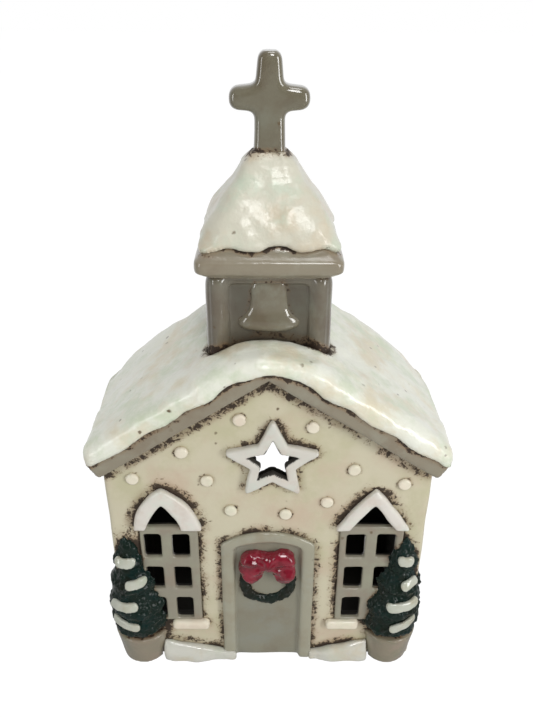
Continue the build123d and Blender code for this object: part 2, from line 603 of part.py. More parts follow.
def fir(side, grow):
    """Tiered fir standing on its pot, leaning back against the wall and out towards its corner."""
    back_lean = degrees(asin((TREE_RADIUS - TREE_PROUD) / TREE_HEIGHT))
    out_lean = degrees(asin(TREE_LEAN / TREE_HEIGHT))
    points = [(0, 0)]
    for out_share, up_share in TREE_TIER_SHARES:
        points.append((TREE_RADIUS * out_share + grow, TREE_HEIGHT * up_share))
    points.append((0, TREE_HEIGHT + grow))
    profile = make_face(Polyline(*points, close=True))
    tree = revolve(Plane.XZ * profile, Axis.Z)
    apex = Pos(side * (TREE_X[side] + TREE_LEAN), FRONT, POT_HEIGHT + TREE_HEIGHT)
    tree = apex * Rot(back_lean, side * out_lean, 0) * Pos(0, 0, -TREE_HEIGHT) * tree
    around = 2 * TREE_RADIUS + OVERRUN
    pot_space = Pos(side * TREE_X[side], FRONT, 0) * Box(around, around, 2 * POT_HEIGHT)
    return tree - house_block() - pot_space


def tree(side, window):
    return fir(side, 0) - window_lattice(window) - window_hood(window)


def tree_snow(side, pad_shares):
    """Snow pads that follow the branches, cut to lie on the tree."""
    thick, bare = fir(side, TREE_SNOW), fir(side, 0)
    pads = []
    for out_share, up_share, width_share, height_share, tilt in pad_shares:
        width, height = TREE_RADIUS * width_share, TREE_HEIGHT * height_share
        out = TREE_X[side] + TREE_LEAN * up_share + TREE_RADIUS * out_share
        place = Pos(side * out, POT_HEIGHT + TREE_HEIGHT * up_share) * Rot(0, 0, side * tilt)
        plan = RectangleRounded(width, height, height * PAD_ROUND_SHARE)
        pad = slab(place * plan, FRONT - OVERRUN, FRONT - HOOD_PROUD)
        pads += ((pad & thick) - bare).solids()
    return Compound(children=pads)


def pot(side):
    y = FRONT + POT_RIM_RADIUS - POT_PROUD
    profile = make_face(Polyline((0, 0), (POT_FOOT_RADIUS, 0), (POT_RIM_RADIUS, POT_HEIGHT),
                                 (0, POT_HEIGHT), close=True))
    return Pos(side * POT_X[side], y, 0) * revolve(Plane.XZ * profile, Axis.Z) - house_block()


def below_curve(points):
    """Outline between a level line and a smooth curve."""
    near, far = (points[0][0], 0), (points[-1][0], 0)
    return make_face([Line(near, far), Line(far, points[-1]), Spline(*points), Line(points[0], near)])


def snow_drift(side, start):
    """Bank of snow from the door to the pot, higher and fuller towards the pot."""
    run = POT_X[side] - POT_FOOT_RADIUS - start
    top = [(side * (start + run * along), DRIFT_HEIGHT * up) for along, up in DRIFT_TOP_SHARES]
    front = [(side * (start + run * along), -DRIFT_PROUD * out) for along, out in DRIFT_FRONT_SHARES]
    bank = slab(below_curve(top), FRONT - DRIFT_PROUD, FRONT)
    bank &= extrude(Pos(0, FRONT, 0) * below_curve(front), amount=DRIFT_HEIGHT)
    section = [(FRONT - DRIFT_PROUD * out, DRIFT_HEIGHT * up) for out, up in DRIFT_BACK_SHARES]
    lying = make_face(Polyline((FRONT, 0), *section, close=True))
    bank &= extrude(Plane.YZ * lying, amount=HALF_WIDTH, both=True)
    return bank - door_surround() - pot(side)


def ring(outer, inner, bottom, top):
    """Plain tube about the candle's axis."""
    return extrude(Pos(0, 0, bottom) * (Circle(outer) - Circle(inner)), amount=top - bottom)


def disc(radius, bottom, top):
    return extrude(Pos(0, 0, bottom) * Circle(radius), amount=top - bottom)


def candle_shell():
    skin = ring(CANDLE_RADIUS, CANDLE_RADIUS - CANDLE_SKIN, FLOOR, CANDLE_TOP)
    dish = ring(CANDLE_RADIUS - CANDLE_SKIN, FLAME_RADIUS + SEAT_GAP, FLANGE_TOP, FLANGE_TOP + CANDLE_SKIN)
    return skin + dish


def switch_block(extra_length, extra_width, bottom, top):
    """Block about the middle of the switch's travel."""
    plan = Rectangle(SWITCH_LENGTH + extra_length, SWITCH_WIDTH + extra_width)
    return extrude(Pos(0, -SWITCH_RADIUS, bottom) * plan, amount=top - bottom)


def bayonet(radius, grow, bottom, top):
    """Two lugs on opposite sides of the battery hatch, or the space they pass through."""
    width = HATCH_LUG_WIDTH + 2 * grow
    bar = Pos(0, 0, (bottom + top) / 2) * Box(2 * radius + OVERRUN, width, top - bottom)
    return disc(radius, bottom, top) & bar


def candle_base():
    plate = disc(CANDLE_RADIUS - CANDLE_SKIN - SEAT_GAP, FLOOR, BASE_TOP)
    cup = ring(CELL_CUP_RADIUS + CELL_CUP_WALL, CELL_CUP_RADIUS, BASE_TOP, BOARD_BOTTOM)
    pocket_radius = HATCH_RADIUS + HATCH_LUG + RUNNING_GAP
    base = plate + cup
    base -= disc(HATCH_RADIUS + RUNNING_GAP, FLOOR, FLOOR + HATCH_LIP)
    base -= disc(pocket_radius, FLOOR + HATCH_LIP, FLOOR + HATCH_DEPTH)
    base -= disc(CELL_RADIUS + RUNNING_GAP, FLOOR + HATCH_DEPTH, BASE_TOP)
    base -= Rot(0, 0, HATCH_TURN) * bayonet(pocket_radius, RUNNING_GAP, FLOOR, FLOOR + HATCH_LIP)
    return base - switch_block(SWITCH_TRAVEL + 2 * RUNNING_GAP, 2 * RUNNING_GAP, FLOOR, BASE_TOP)


def candle_battery_hatch():
    bottom = FLOOR + RUNNING_GAP
    lid = disc(HATCH_RADIUS, bottom, FLOOR + HATCH_DEPTH)
    lugs = bayonet(HATCH_RADIUS + HATCH_LUG, 0, FLOOR + HATCH_LIP + SEAT_GAP, FLOOR + HATCH_DEPTH - SEAT_GAP)
    slot = Pos(0, 0, bottom) * Box(COIN_SLOT_LENGTH, COIN_SLOT_WIDTH, 2 * COIN_SLOT_DEPTH)
    return lid + lugs - slot


def candle_switch():
    rest = Pos(-SWITCH_TRAVEL / 2, 0, 0)
    knob = switch_block(0, 0, FLOOR + RUNNING_GAP, BASE_TOP)
    length = SWITCH_TRAVEL + 2 * SWITCH_FLANGE
    flange = switch_block(length, 2 * SWITCH_FLANGE, BASE_TOP, BASE_TOP + SWITCH_FLANGE)
    return rest * (knob + flange)


def candle_coin_cell():
    return disc(CELL_RADIUS, CELL_BOTTOM, CELL_TOP)


def candle_contacts():
    """A bent leaf between the board and the cell's top, and a strip down the cell's side."""
    half, thick = CONTACT_LENGTH / 2, CONTACT_THICKNESS
    bends = [share * CONTACT_LENGTH - half for share in CONTACT_BEND_SHARES]
    upper = [(-half, BOARD_BOTTOM), (bends[0], BOARD_BOTTOM), (bends[1], CELL_TOP + thick),
             (half, CELL_TOP + thick)]
    lower = [(x, z - thick) for x, z in reversed(upper)]
    leaf = slab(make_face(Polyline(*upper, *lower, close=True)), -CONTACT_WIDTH / 2, CONTACT_WIDTH / 2)
    inner = CELL_RADIUS + SEAT_GAP
    strip = ring(inner + CONTACT_THICKNESS, inner, BASE_TOP, BOARD_BOTTOM)
    strip &= Pos(inner, 0, BASE_TOP) * Box(inner, CONTACT_WIDTH, 2 * OVERRUN)
    return Compound(children=[leaf, strip])


def candle_board():
    return disc(BOARD_RADIUS, BOARD_BOTTOM, BOARD_TOP)


def candle_led():
    shoulder = BOARD_TOP + LED_FLANGE + LED_HEIGHT
    flange = disc(LED_RADIUS + LED_FLANGE, BOARD_TOP, BOARD_TOP + LED_FLANGE)
    barrel = disc(LED_RADIUS, BOARD_TOP + LED_FLANGE, shoulder)
    dome = split(Pos(0, 0, shoulder) * Sphere(LED_RADIUS), bisect_by=Plane.XY.offset(shoulder), keep=Keep.TOP)
    return flange + barrel + dome


def candle_flame():
    bottom = FLANGE_TOP - FLAME_FLANGE
    rim, bore = FLAME_RADIUS + FLAME_FLANGE, FLAME_RADIUS - FLAME_SKIN
    side = [(FLAME_RADIUS * out, FLANGE_TOP + FLAME_HEIGHT * up) for out, up in FLAME_SHARES]
    foot = Polyline((0, bottom), (rim, bottom), (rim, FLANGE_TOP), (FLAME_RADIUS, FLANGE_TOP), side[0])
    outer = make_face([foot, Spline(*side), Line(side[-1], (0, bottom))])
    hollow_top = FLANGE_TOP + FLAME_HEIGHT * FLAME_HOLLOW_SHARE
    hollow = make_face(Polyline((0, bottom), (bore, bottom), (bore, side[0][1]), (0, hollow_top), close=True))
    return revolve(Plane.XZ * (outer - hollow), Axis.Z)


def all_nodes():
    nodes = {
        "front_wall": front_wall(),
        "back_wall": back_wall(),
        "left_wall": side_wall(-1),
        "right_wall": side_wall(1),
        "floor_slab": floor_slab(),
        "roof_slab": roof_slab(),
        "roof_snow": roof_snow(),
        "belfry_tower": belfry_tower(),
        "bell": bell(),
        "tower_cap": tower_cap(),
        "tower_cap_snow": tower_cap_snow(),
        "cross": cross(),
        "door_panel": door_panel(),
        "door_surround": door_surround(),
        "wreath": wreath(),
        "bow": bow(),
        "star_surround": star_surround(),
        "snow_dots": snow_dots(),
        "candle_shell": candle_shell(),
        "candle_base": candle_base(),
        "candle_flame": candle_flame(),
        "candle_led": candle_led(),
        "candle_board": candle_board(),
        "candle_coin_cell": candle_coin_cell(),
        "candle_contacts": candle_contacts(),
        "candle_battery_hatch": candle_battery_hatch(),
        "candle_switch": candle_switch(),
    }
    for name, side, window, pad_shares, drift_start in SIDES:
        nodes[name + "_window_lattice"] = window_lattice(window)
        nodes[name + "_window_hood"] = window_hood(window)
        nodes[name + "_window_sill"] = window_sill(side)
        nodes[name + "_tree"] = tree(side, window)
        nodes[name + "_tree_snow"] = tree_snow(side, pad_shares)
        nodes[name + "_pot"] = pot(side)
        nodes[name + "_snow_drift"] = snow_drift(side, drift_start)
    return nodes


os.makedirs("parts", exist_ok=True)
for node, shape in all_nodes().items():
    export_step(shape, f"parts/{node}.step")
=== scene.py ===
import math
import bmesh
import bpy
import numpy as np
from mathutils import Matrix, Vector, noise
from mathutils.bvhtree import BVHTree


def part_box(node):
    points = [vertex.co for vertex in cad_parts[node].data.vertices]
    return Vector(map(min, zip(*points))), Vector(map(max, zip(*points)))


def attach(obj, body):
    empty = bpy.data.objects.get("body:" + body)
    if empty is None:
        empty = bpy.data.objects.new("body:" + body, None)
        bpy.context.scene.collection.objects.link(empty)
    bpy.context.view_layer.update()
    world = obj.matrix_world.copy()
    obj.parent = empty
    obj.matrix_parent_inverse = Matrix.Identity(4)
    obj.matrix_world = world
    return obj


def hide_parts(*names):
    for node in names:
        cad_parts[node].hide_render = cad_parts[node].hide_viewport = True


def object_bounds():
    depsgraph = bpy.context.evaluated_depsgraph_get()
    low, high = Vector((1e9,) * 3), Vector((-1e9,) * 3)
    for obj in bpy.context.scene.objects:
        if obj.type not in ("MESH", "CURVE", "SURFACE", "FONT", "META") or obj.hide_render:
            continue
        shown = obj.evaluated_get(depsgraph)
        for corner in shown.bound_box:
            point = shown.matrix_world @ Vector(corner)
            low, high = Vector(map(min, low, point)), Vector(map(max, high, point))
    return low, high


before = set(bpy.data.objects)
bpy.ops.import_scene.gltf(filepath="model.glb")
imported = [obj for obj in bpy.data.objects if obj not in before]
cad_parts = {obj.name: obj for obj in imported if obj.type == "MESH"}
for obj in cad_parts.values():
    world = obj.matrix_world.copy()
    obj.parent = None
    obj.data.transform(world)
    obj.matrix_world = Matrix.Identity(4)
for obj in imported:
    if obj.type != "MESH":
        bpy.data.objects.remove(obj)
solid_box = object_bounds()


# House shell. Slip-cast earthenware: a gabled front and back, two sides and a floor poured as one shell,
# with the seams sponged away. It is glazed cream, with painted shade on all its inner surfaces, and brown
# stain is rubbed into the corners of its relief and wiped off the high places.
def tint(red, green, blue):
    """A colour written in everyday 0 to 255 values, as the shader wants it."""
    parts = [part / 255 for part in (red, green, blue)]
    linear = [part / 12.92 if part <= 0.04045 else ((part + 0.055) / 1.055) ** 2.4 for part in parts]
    return (*linear, 1.0)


def raw_clay(nodes):
    """One merged copy of the solids with these names."""
    clay = bmesh.new()
    for name in nodes:
        clay.from_mesh(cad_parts[name].data)
    bmesh.ops.remove_doubles(clay, verts=clay.verts, dist=1e-6)
    return clay


def skinned(name, clay, nodes, grain, sponging):
    """A softened casting of modelled clay that stands for some solids: skinned at the grain, then sponged."""
    piece = bpy.data.objects.new(name, bpy.data.meshes.new(name))
    clay.to_mesh(piece.data)
    clay.free()
    bpy.context.scene.collection.objects.link(piece)
    skin = piece.modifiers.new("skin", "REMESH")
    skin.mode = "VOXEL"
    skin.voxel_size = grain
    sponge = piece.modifiers.new("sponge", "SMOOTH")
    sponge.factor = 0.5
    sponge.iterations = sponging
    finished = piece.evaluated_get(bpy.context.evaluated_depsgraph_get())
    piece.data = bpy.data.meshes.new_from_object(finished)
    piece.modifiers.clear()
    piece.data.shade_smooth()
    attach(piece, "house")
    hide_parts(*nodes)
    return piece


def cast(name, nodes, grain, sponging):
    """A softened casting of the solids themselves."""
    return skinned(name, raw_clay(nodes), nodes, grain, sponging)


def surface(piece):
    """Places and outward directions of a piece's points."""
    count = len(piece.data.vertices)
    places, outward = np.empty(count * 3, np.float32), np.empty(count * 3, np.float32)
    piece.data.vertices.foreach_get("co", places)
    piece.data.vertices.foreach_get("normal", outward)
    return places.reshape(-1, 3), outward.reshape(-1, 3)


def reshape(piece, places):
    """Moves a piece's points, held inside the box of the solids."""
    places = np.clip(places, np.array(solid_box[0], np.float32), np.array(solid_box[1], np.float32))
    piece.data.vertices.foreach_set("co", places.ravel())
    piece.data.update()


def mark(piece, label, values):
    """Stores one value for each of a piece's points, for its glaze to read."""
    layer = piece.data.attributes.new(label, "FLOAT", "POINT")
    layer.data.foreach_set("value", np.asarray(values, np.float32))


def press(piece, depth, size, swell=0.0):
    """Hand-finished unevenness of one size, pushed in and out along the surface, and an even swelling."""
    places, outward = surface(piece)
    lumps = np.array([noise.noise(Vector(place) / size) for place in places], np.float32)
    reshape(piece, places + outward * (depth * lumps + swell)[:, None])


def shelter(relief, place):
    """Share of the ways along the front wall from a point that the relief closes off, within reach of a
    cloth."""
    ways, cloth_reach, closed = 12, 0.005, 0
    for step in range(ways):
        angle = step * 2 * math.pi / ways
        way = Vector((math.cos(angle), 0, math.sin(angle)))
        if relief.ray_cast(place, way, cloth_reach)[0] is not None:
            closed += 1
    return closed / ways


def rub_stain(piece, groups, sheltered=False):
    """Stores how near each point lies to its neighbours, where the stain stays after wiping. A group gives
    its nodes, the distance up to which the stain is full, the distance from which there is none, and its
    strength. On the front wall the cloth also cleans the points that stand open."""
    just_off_wall = Vector((0, -0.0004, 0))
    left_in_open, left_by_shelter, most_left = 0.25, 2.0, 1.2
    places = surface(piece)[0]
    gathered = np.zeros(len(places), np.float32)
    for nodes, full, none, strength in groups:
        clay = raw_clay(nodes)
        neighbours = BVHTree.FromBMesh(clay)
        corners = np.array([vertex.co for vertex in clay.verts])
        clay.free()
        close = (places > corners.min(axis=0) - none) & (places < corners.max(axis=0) + none)
        for index in np.flatnonzero(close.all(axis=1)):
            place = Vector(places[index])
            distance = neighbours.find_nearest(place, none)[3]
            if distance is None:
                continue
            share = strength * min(1, (none - distance) / (none - full))
            if sheltered and full == 0:
                closed = shelter(neighbours, place + just_off_wall)
                share *= min(most_left, left_by_shelter * closed + left_in_open)
            gathered[index] = max(gathered[index], share)
    mark(piece, "stain", gathered)


def paint_inner_shade(piece, low, high):
    """Marks the surface between two corners for painted shade, the dark colour that its glaze blends to."""
    places = surface(piece)[0]
    mark(piece, "inside", ((places > low) & (places < high)).all(axis=1))


def feed(tree, node, sockets):
    """Gives each named socket of a shader node its value or its link."""
    for label, value in sockets.items():
        if isinstance(value, bpy.types.NodeSocket):
            tree.links.new(value, node.inputs[label])
        else:
            node.inputs[label].default_value = value


def put(tree, kind, sockets, **settings):
    """Adds a shader node with its settings and its sockets."""
    node = tree.nodes.new(kind)
    for label, value in settings.items():
        setattr(node, label, value)
    feed(tree, node, sockets)
    return node


def maths(tree, operation, *values):
    """The result of a maths node on two or three values or links."""
    return put(tree, "ShaderNodeMath", dict(enumerate(values)), operation=operation).outputs[0]


def cloud(tree, place, scale, detail, **more):
    """A noise over the surface, as a value."""
    sockets = {"Vector": place, "Scale": scale, "Detail": detail, **more}
    return put(tree, "ShaderNodeTexNoise", sockets).outputs["Fac"]


def blend_colour(tree, share, first, second):
    """Colour between two others. A mix node keeps its colours in sockets 6 and 7 and its result in 2."""
    return put(tree, "ShaderNodeMix", {0: share, 6: first, 7: second}, data_type="RGBA").outputs[2]


def step_between(tree, value, low, high):
    """A smooth step from 0 to 1 between two levels of a value."""
    limits = {"Value": value, "From Min": low, "From Max": high}
    return put(tree, "ShaderNodeMapRange", limits, interpolation_type="SMOOTHSTEP").outputs["Result"]


def fade(tree, value, start, end, low=0.0, high=1.0):
    """A value that runs from its start to its end as another one goes from low to high."""
    limits = {"Value": value, "From Min": low, "From Max": high, "To Min": start, "To Max": end}
    return put(tree, "ShaderNodeMapRange", limits).outputs["Result"]


def effect(name, inputs, outputs):
    """An empty shader effect with named sockets, and its two ends."""
    group = bpy.data.node_groups.new(name, "ShaderNodeTree")
    for label, kind in inputs:
        group.interface.new_socket(label, in_out="INPUT", socket_type="NodeSocket" + kind)
    for label, kind in outputs:
        group.interface.new_socket(label, in_out="OUTPUT", socket_type="NodeSocket" + kind)
    return group, group.nodes.new("NodeGroupInput").outputs, group.nodes.new("NodeGroupOutput").inputs


def use(tree, group, sockets):
    """Places a shader effect in a material, and gives what it puts out."""
    return put(tree, "ShaderNodeGroup", sockets, node_tree=group).outputs


# Pooled glaze: broad soft drifts of two other tones, where the glaze ran thick or thin.
pools, given, result = effect(
    "pooled_glaze",
    [("Place", "Vector"), ("Glaze", "Color"), ("Thin", "Color"), ("Thick", "Color"), ("Scale", "Float")],
    [("Color", "Color")])
aside = put(pools, "ShaderNodeVectorMath", {0: given["Place"], 1: (0.37, 0.11, 0.73)}).outputs[0]
first_drift = cloud(pools, given["Place"], given["Scale"], 4.0, Roughness=0.6)
second_drift = cloud(pools, aside, given["Scale"], 5.0, Roughness=0.65)
thin = step_between(pools, first_drift, 0.44, 0.68)
thick = step_between(pools, second_drift, 0.46, 0.70)
pooled = blend_colour(pools, thin, given["Glaze"], given["Thin"])
pools.links.new(blend_colour(pools, thick, pooled, given["Thick"]), result["Color"])

# Iron flecks: small dark spots that come up through the glaze here and there.
flecks, given, result = effect(
    "iron_flecks",
    [("Place", "Vector"), ("Glaze", "Color"), ("Fleck", "Color"), ("Scale", "Float"), ("Share", "Float")],
    [("Color", "Color")])
bent = put(flecks, "ShaderNodeTexNoise", {"Vector": given["Place"], "Scale": 700.0, "Detail": 1.0})
shift = put(flecks, "ShaderNodeVectorMath", {0: bent.outputs["Color"], "Scale": 0.0012}, operation="SCALE")
ragged = put(flecks, "ShaderNodeVectorMath", {0: given["Place"], 1: shift.outputs[0]})
cells = put(flecks, "ShaderNodeTexVoronoi", {"Vector": ragged.outputs[0], "Scale": given["Scale"]})
chance = put(flecks, "ShaderNodeSeparateColor", {"Color": cells.outputs["Color"]}).outputs
chosen = maths(flecks, "LESS_THAN", chance["Red"], given["Share"])
spot = step_between(flecks, cells.outputs["Distance"], 0.26, 0.10)
weak = maths(flecks, "MULTIPLY", spot, chance["Green"])
seen = maths(flecks, "MULTIPLY", weak, chosen)
flecks.links.new(blend_colour(flecks, seen, given["Glaze"], given["Fleck"]), result["Color"])

# Rubbed stain: soft stippled brown in broken patches, darkest next to the neighbours, in a faint tan bloom.
stains, given, result = effect(
    "rubbed_stain",
    [("Place", "Vector"), ("Glaze", "Color"), ("Nearness", "Float"), ("Cover", "Float")],
    [("Color", "Color"), ("Mask", "Float")])
stipple = cloud(stains, given["Place"], 1300.0, 3.0, Roughness=0.65)
clump = cloud(stains, given["Place"], 360.0, 3.0, Roughness=0.65, Distortion=0.8)
patches = cloud(stains, given["Place"], 80.0, 2.0)
unwiped = step_between(stains, patches, 0.32, 0.56)
patch_weight, kept_when_wiped = 0.75, 0.32
kept = maths(stains, "MULTIPLY_ADD", unwiped, patch_weight, kept_when_wiped)
held = maths(stains, "MULTIPLY", given["Nearness"], given["Cover"])
amount = maths(stains, "MULTIPLY", held, kept)
stipple_weight, clump_weight, offset = 1.7, 3.3, -2.0
fine = maths(stains, "MULTIPLY_ADD", stipple, stipple_weight, offset)
level = maths(stains, "MULTIPLY_ADD", clump, clump_weight, fine)
gap = maths(stains, "SUBTRACT", amount, level)
dabs = step_between(stains, gap, -0.14, 0.56)
reached = step_between(stains, amount, 0.03, 0.26)
mask = maths(stains, "MULTIPLY", dabs, reached)
deep = step_between(stains, mask, 0.40, 1.0)
brown = blend_colour(stains, deep, tint(116, 88, 58), tint(46, 30, 18))
faint = step_between(stains, amount, 0.0, 0.9)
bloom_strength, brown_strength = 0.46, 0.94
bloom = maths(stains, "MULTIPLY", faint, bloom_strength)
warmed = blend_colour(stains, bloom, given["Glaze"], tint(142, 117, 86))
covering = maths(stains, "MULTIPLY", mask, brown_strength)
stains.links.new(blend_colour(stains, covering, warmed, brown), result["Color"])
stains.links.new(mask, result["Mask"])

# Glaze ripple: the low swell of the fired glaze and its fine orange-peel skin.
ripples, given, result = effect(
    "glaze_ripple", [("Place", "Vector"), ("Scale", "Float")], [("Height", "Float")])
swell = cloud(ripples, given["Place"], given["Scale"], 2.0)
peel_fineness, peel_height = 4.5, 0.22
closer = maths(ripples, "MULTIPLY", given["Scale"], peel_fineness)
peel = cloud(ripples, given["Place"], closer, 2.0)
ripples.links.new(maths(ripples, "MULTIPLY_ADD", peel, peel_height, swell), result["Height"])


def glaze(name, colours, pool_scale, fleck_share, cover, rough, coat, ripple, shine=0.5):
    """A fired glaze, given its own colour and those where it runs thin and thick, with its pools, flecks,
    rubbed stain and ripple, and painted shade, a dark colour where a piece is marked inside, left bare and
    dull."""
    fleck_brown, painted_shade_colour = tint(92, 72, 46), tint(30, 25, 18)
    fleck_scale, ripple_scale, bare_rough = 260.0, 190.0, 0.7
    finish = bpy.data.materials.new(name)
    finish.use_nodes = True
    tree = finish.node_tree
    place = put(tree, "ShaderNodeTexCoord", {}).outputs["Object"]
    nearness = put(tree, "ShaderNodeAttribute", {}, attribute_name="stain").outputs["Fac"]
    # The inside mark is how much painted shade a point has: its colour goes towards the dark shade colour.
    inside = put(tree, "ShaderNodeAttribute", {}, attribute_name="inside").outputs["Fac"]
    own, thin, thick = (tint(*colour) for colour in colours)
    pooled = use(tree, pools, {"Place": place, "Glaze": own, "Thin": thin, "Thick": thick,
                               "Scale": pool_scale})
    flecked = use(tree, flecks, {"Place": place, "Glaze": pooled["Color"], "Fleck": fleck_brown,
                                 "Scale": fleck_scale, "Share": fleck_share})
    stained = use(tree, stains, {"Place": place, "Glaze": flecked["Color"], "Nearness": nearness,
                                 "Cover": cover})
    rippled = use(tree, ripples, {"Place": place, "Scale": ripple_scale})
    bare = maths(tree, "MAXIMUM", stained["Mask"], inside)
    bump = put(tree, "ShaderNodeBump", {"Strength": 0.6, "Distance": ripple, "Height": rippled["Height"]})
    feed(tree, tree.nodes["Principled BSDF"],
         {"Base Color": blend_colour(tree, inside, stained["Color"], painted_shade_colour),
          "Roughness": fade(tree, bare, rough, bare_rough), "Coat Weight": fade(tree, bare, coat, 0.0),
          "Normal": bump.outputs["Normal"], "Coat Roughness": 0.06, "Specular IOR Level": shine})
    return finish


walls = ["front_wall", "back_wall", "left_wall", "right_wall", "floor_slab"]
shell = cast("house_shell", walls, grain=0.00094, sponging=3)
press(shell, depth=0.00028, size=0.022)
press(shell, depth=0.00010, size=0.006)
windows = ["left_window_lattice", "right_window_lattice"]
hoods = ["left_window_hood", "right_window_hood"]
sills = ["left_window_sill", "right_window_sill"]
drifts = ["left_snow_drift", "right_snow_drift"]
firs_and_pots = ["left_tree", "right_tree", "left_pot", "right_pot"]
rub_stain(shell, [(["roof_slab"], 0.0044, 0.0070, 0.85), (["star_surround"], 0, 0.0050, 1.15),
                  (hoods, 0, 0.0070, 1.4), (windows, 0, 0.0056, 1.1), (sills, 0, 0.0026, 0.8),
                  (drifts, 0, 0.0056, 1.15), (["door_surround"], 0, 0.0050, 0.9),
                  (["snow_dots"], 0, 0.0018, 0.8), (firs_and_pots, 0, 0.0068, 1.2)], sheltered=True)
floor_low, floor_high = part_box("floor_slab")
front_face, back_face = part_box("front_wall")[0].y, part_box("back_wall")[1].y
skin_gap, wall_skin = 0.0006, 0.0011
# Painted shade: the surfaces inside the house, above the floor and behind the skin of the front, are blended
# to a dark colour.
paint_inner_shade(shell, (floor_low.x - skin_gap, front_face + wall_skin, floor_high.z - skin_gap),
              (floor_high.x + skin_gap, back_face - wall_skin, 1.0))
shell.data.materials.append(
    glaze("cream_glaze", [(198, 191, 166), (194, 177, 154), (188, 183, 152)], pool_scale=40.0,
          fleck_share=0.05, cover=1.0, rough=0.30, coat=0.25, ripple=0.00035))


# Roof slab. A thick clay saddle over the walls, its edge left bare of snow as a glossy warm taupe band
# round the eaves and gables, with brown caught under the lip of the snow.
taupe_glaze = glaze("taupe_glaze", [(138, 130, 112), (131, 120, 102), (144, 140, 123)], pool_scale=60.0,
                    fleck_share=0.03, cover=1.0, rough=0.22, coat=0.5, ripple=0.0003)
roof = cast("roof_band", ["roof_slab"], grain=0.0008, sponging=3)
press(roof, depth=0.00025, size=0.02, swell=0.0002)
rub_stain(roof, [(["roof_snow"], 0.0009, 0.0024, 1.1), (["front_wall", "back_wall"], 0, 0.0024, 0.9)])
gable_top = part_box("front_wall")[1].z
# Painted shade: the underside of the saddle inside the house, up to the gable top, is darkened.
paint_inner_shade(roof, (floor_low.x, floor_low.y, 0.0), (floor_high.x, floor_high.y, gable_top + 0.0008))
roof.data.materials.append(taupe_glaze)


# Roof snow. A thick pour of white glaze over the saddle, with a rounded roll along its front and back
# edges that droops in drips, faint green and cream drifts, and a brown line where it meets the belfry.
# Towards the back it is heaped up on each slope, more on the right, and settles round at the corners.
snow_glaze = glaze("snow_glaze", [(224, 225, 212), (212, 204, 180), (200, 208, 184)], pool_scale=62.0,
                   fleck_share=0.14, cover=1.0, rough=0.28, coat=0.28, ripple=0.0009)
roof_snow = cast("roof_drift", ["roof_snow"], grain=0.0009, sponging=34)
press(roof_snow, depth=0.0009, size=0.016, swell=0.0009)
press(roof_snow, depth=0.0005, size=0.0065)
right_heap, left_heap, settling, corner_round = 0.0032, 0.0016, 0.0030, 0.0040
settle_from, round_from, back_from = 0.78, 0.80, 0.70
snow_low, snow_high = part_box("roof_snow")
places, outward = surface(roof_snow)
along = np.clip(np.abs(places[:, 0]) / snow_high.x, 0, 1)
rear = (places[:, 1] - snow_low.y) / (snow_high.y - snow_low.y)
heap = np.where(places[:, 0] > 0, right_heap, left_heap) * np.sin(np.pi * along)
settled = settling * np.clip((along - settle_from) / (1 - settle_from), 0, 1)
places[:, 2] += np.clip(outward[:, 2], 0, 1) * rear * (heap - settled)
outer = np.clip((along - round_from) / (1 - round_from), 0, 1)
rounded = (outer * np.clip((rear - back_from) / (1 - back_from), 0, 1)) ** 2
places[:, 0] -= np.sign(places[:, 0]) * corner_round * rounded
places[:, 1] -= corner_round * rounded
reshape(roof_snow, places)
rub_stain(roof_snow, [(["belfry_tower"], 0.0006, 0.0038, 1.1), (["roof_slab"], 0, 0.0010, 0.8)])
roof_snow.data.materials.append(snow_glaze)


# Belfry. A square clay tower stuck on the ridge, with a sunk panel framed by rolled posts on each side,
# in a darker taupe glaze than the eaves. The sunk panels are darkened further with painted shade.
tower = cast("belfry", ["belfry_tower"], grain=0.0007, sponging=60)
press(tower, depth=0.0002, size=0.012, swell=0.0005)
rub_stain(tower, [(["roof_snow"], 0.0021, 0.0045, 1.25), (["tower_cap"], 0, 0.0014, 0.5),
                  (["bell"], 0, 0.0012, 0.5)])
half_post, post_roll, sink, panel_shade = 0.00365, 0.0014, 0.0034, 0.52
tower_low, tower_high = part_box("belfry_tower")
middle = np.array((tower_low + tower_high) / 2, np.float32)
half = np.array((tower_high - tower_low) / 2, np.float32)
places, outward = surface(tower)
away = np.abs(places - middle)
# Only the outer faces are rolled, and the roll is full down to a quarter of the sink. The panels stay flat.
for across, facing in ((0, 1), (1, 0)):
    off_post = np.abs(away[:, across] - half[across] + half_post) / half_post
    on_face = np.clip(1.5 - (half[facing] - away[:, facing]) / (0.5 * sink), 0, 1) * outward[:, facing] ** 2
    inwards = -np.sign(places[:, facing] - middle[facing])
    places[:, facing] += inwards * post_roll * np.clip(off_post, 0, 1) ** 2 * on_face
reshape(tower, places)
# Painted shade in the sunk panels: the deeper a point lies in the sink, the more it goes to the dark colour.
depth = (half - away)[:, :2].min(axis=1)
mark(tower, "inside", panel_shade * np.clip(depth / sink, 0, 1))
tower.data.materials.append(
    glaze("tower_glaze", [(112, 106, 92), (104, 95, 81), (118, 116, 100)], pool_scale=70.0, fleck_share=0.03,
          cover=1.0, rough=0.18, coat=0.8, ripple=0.0003))


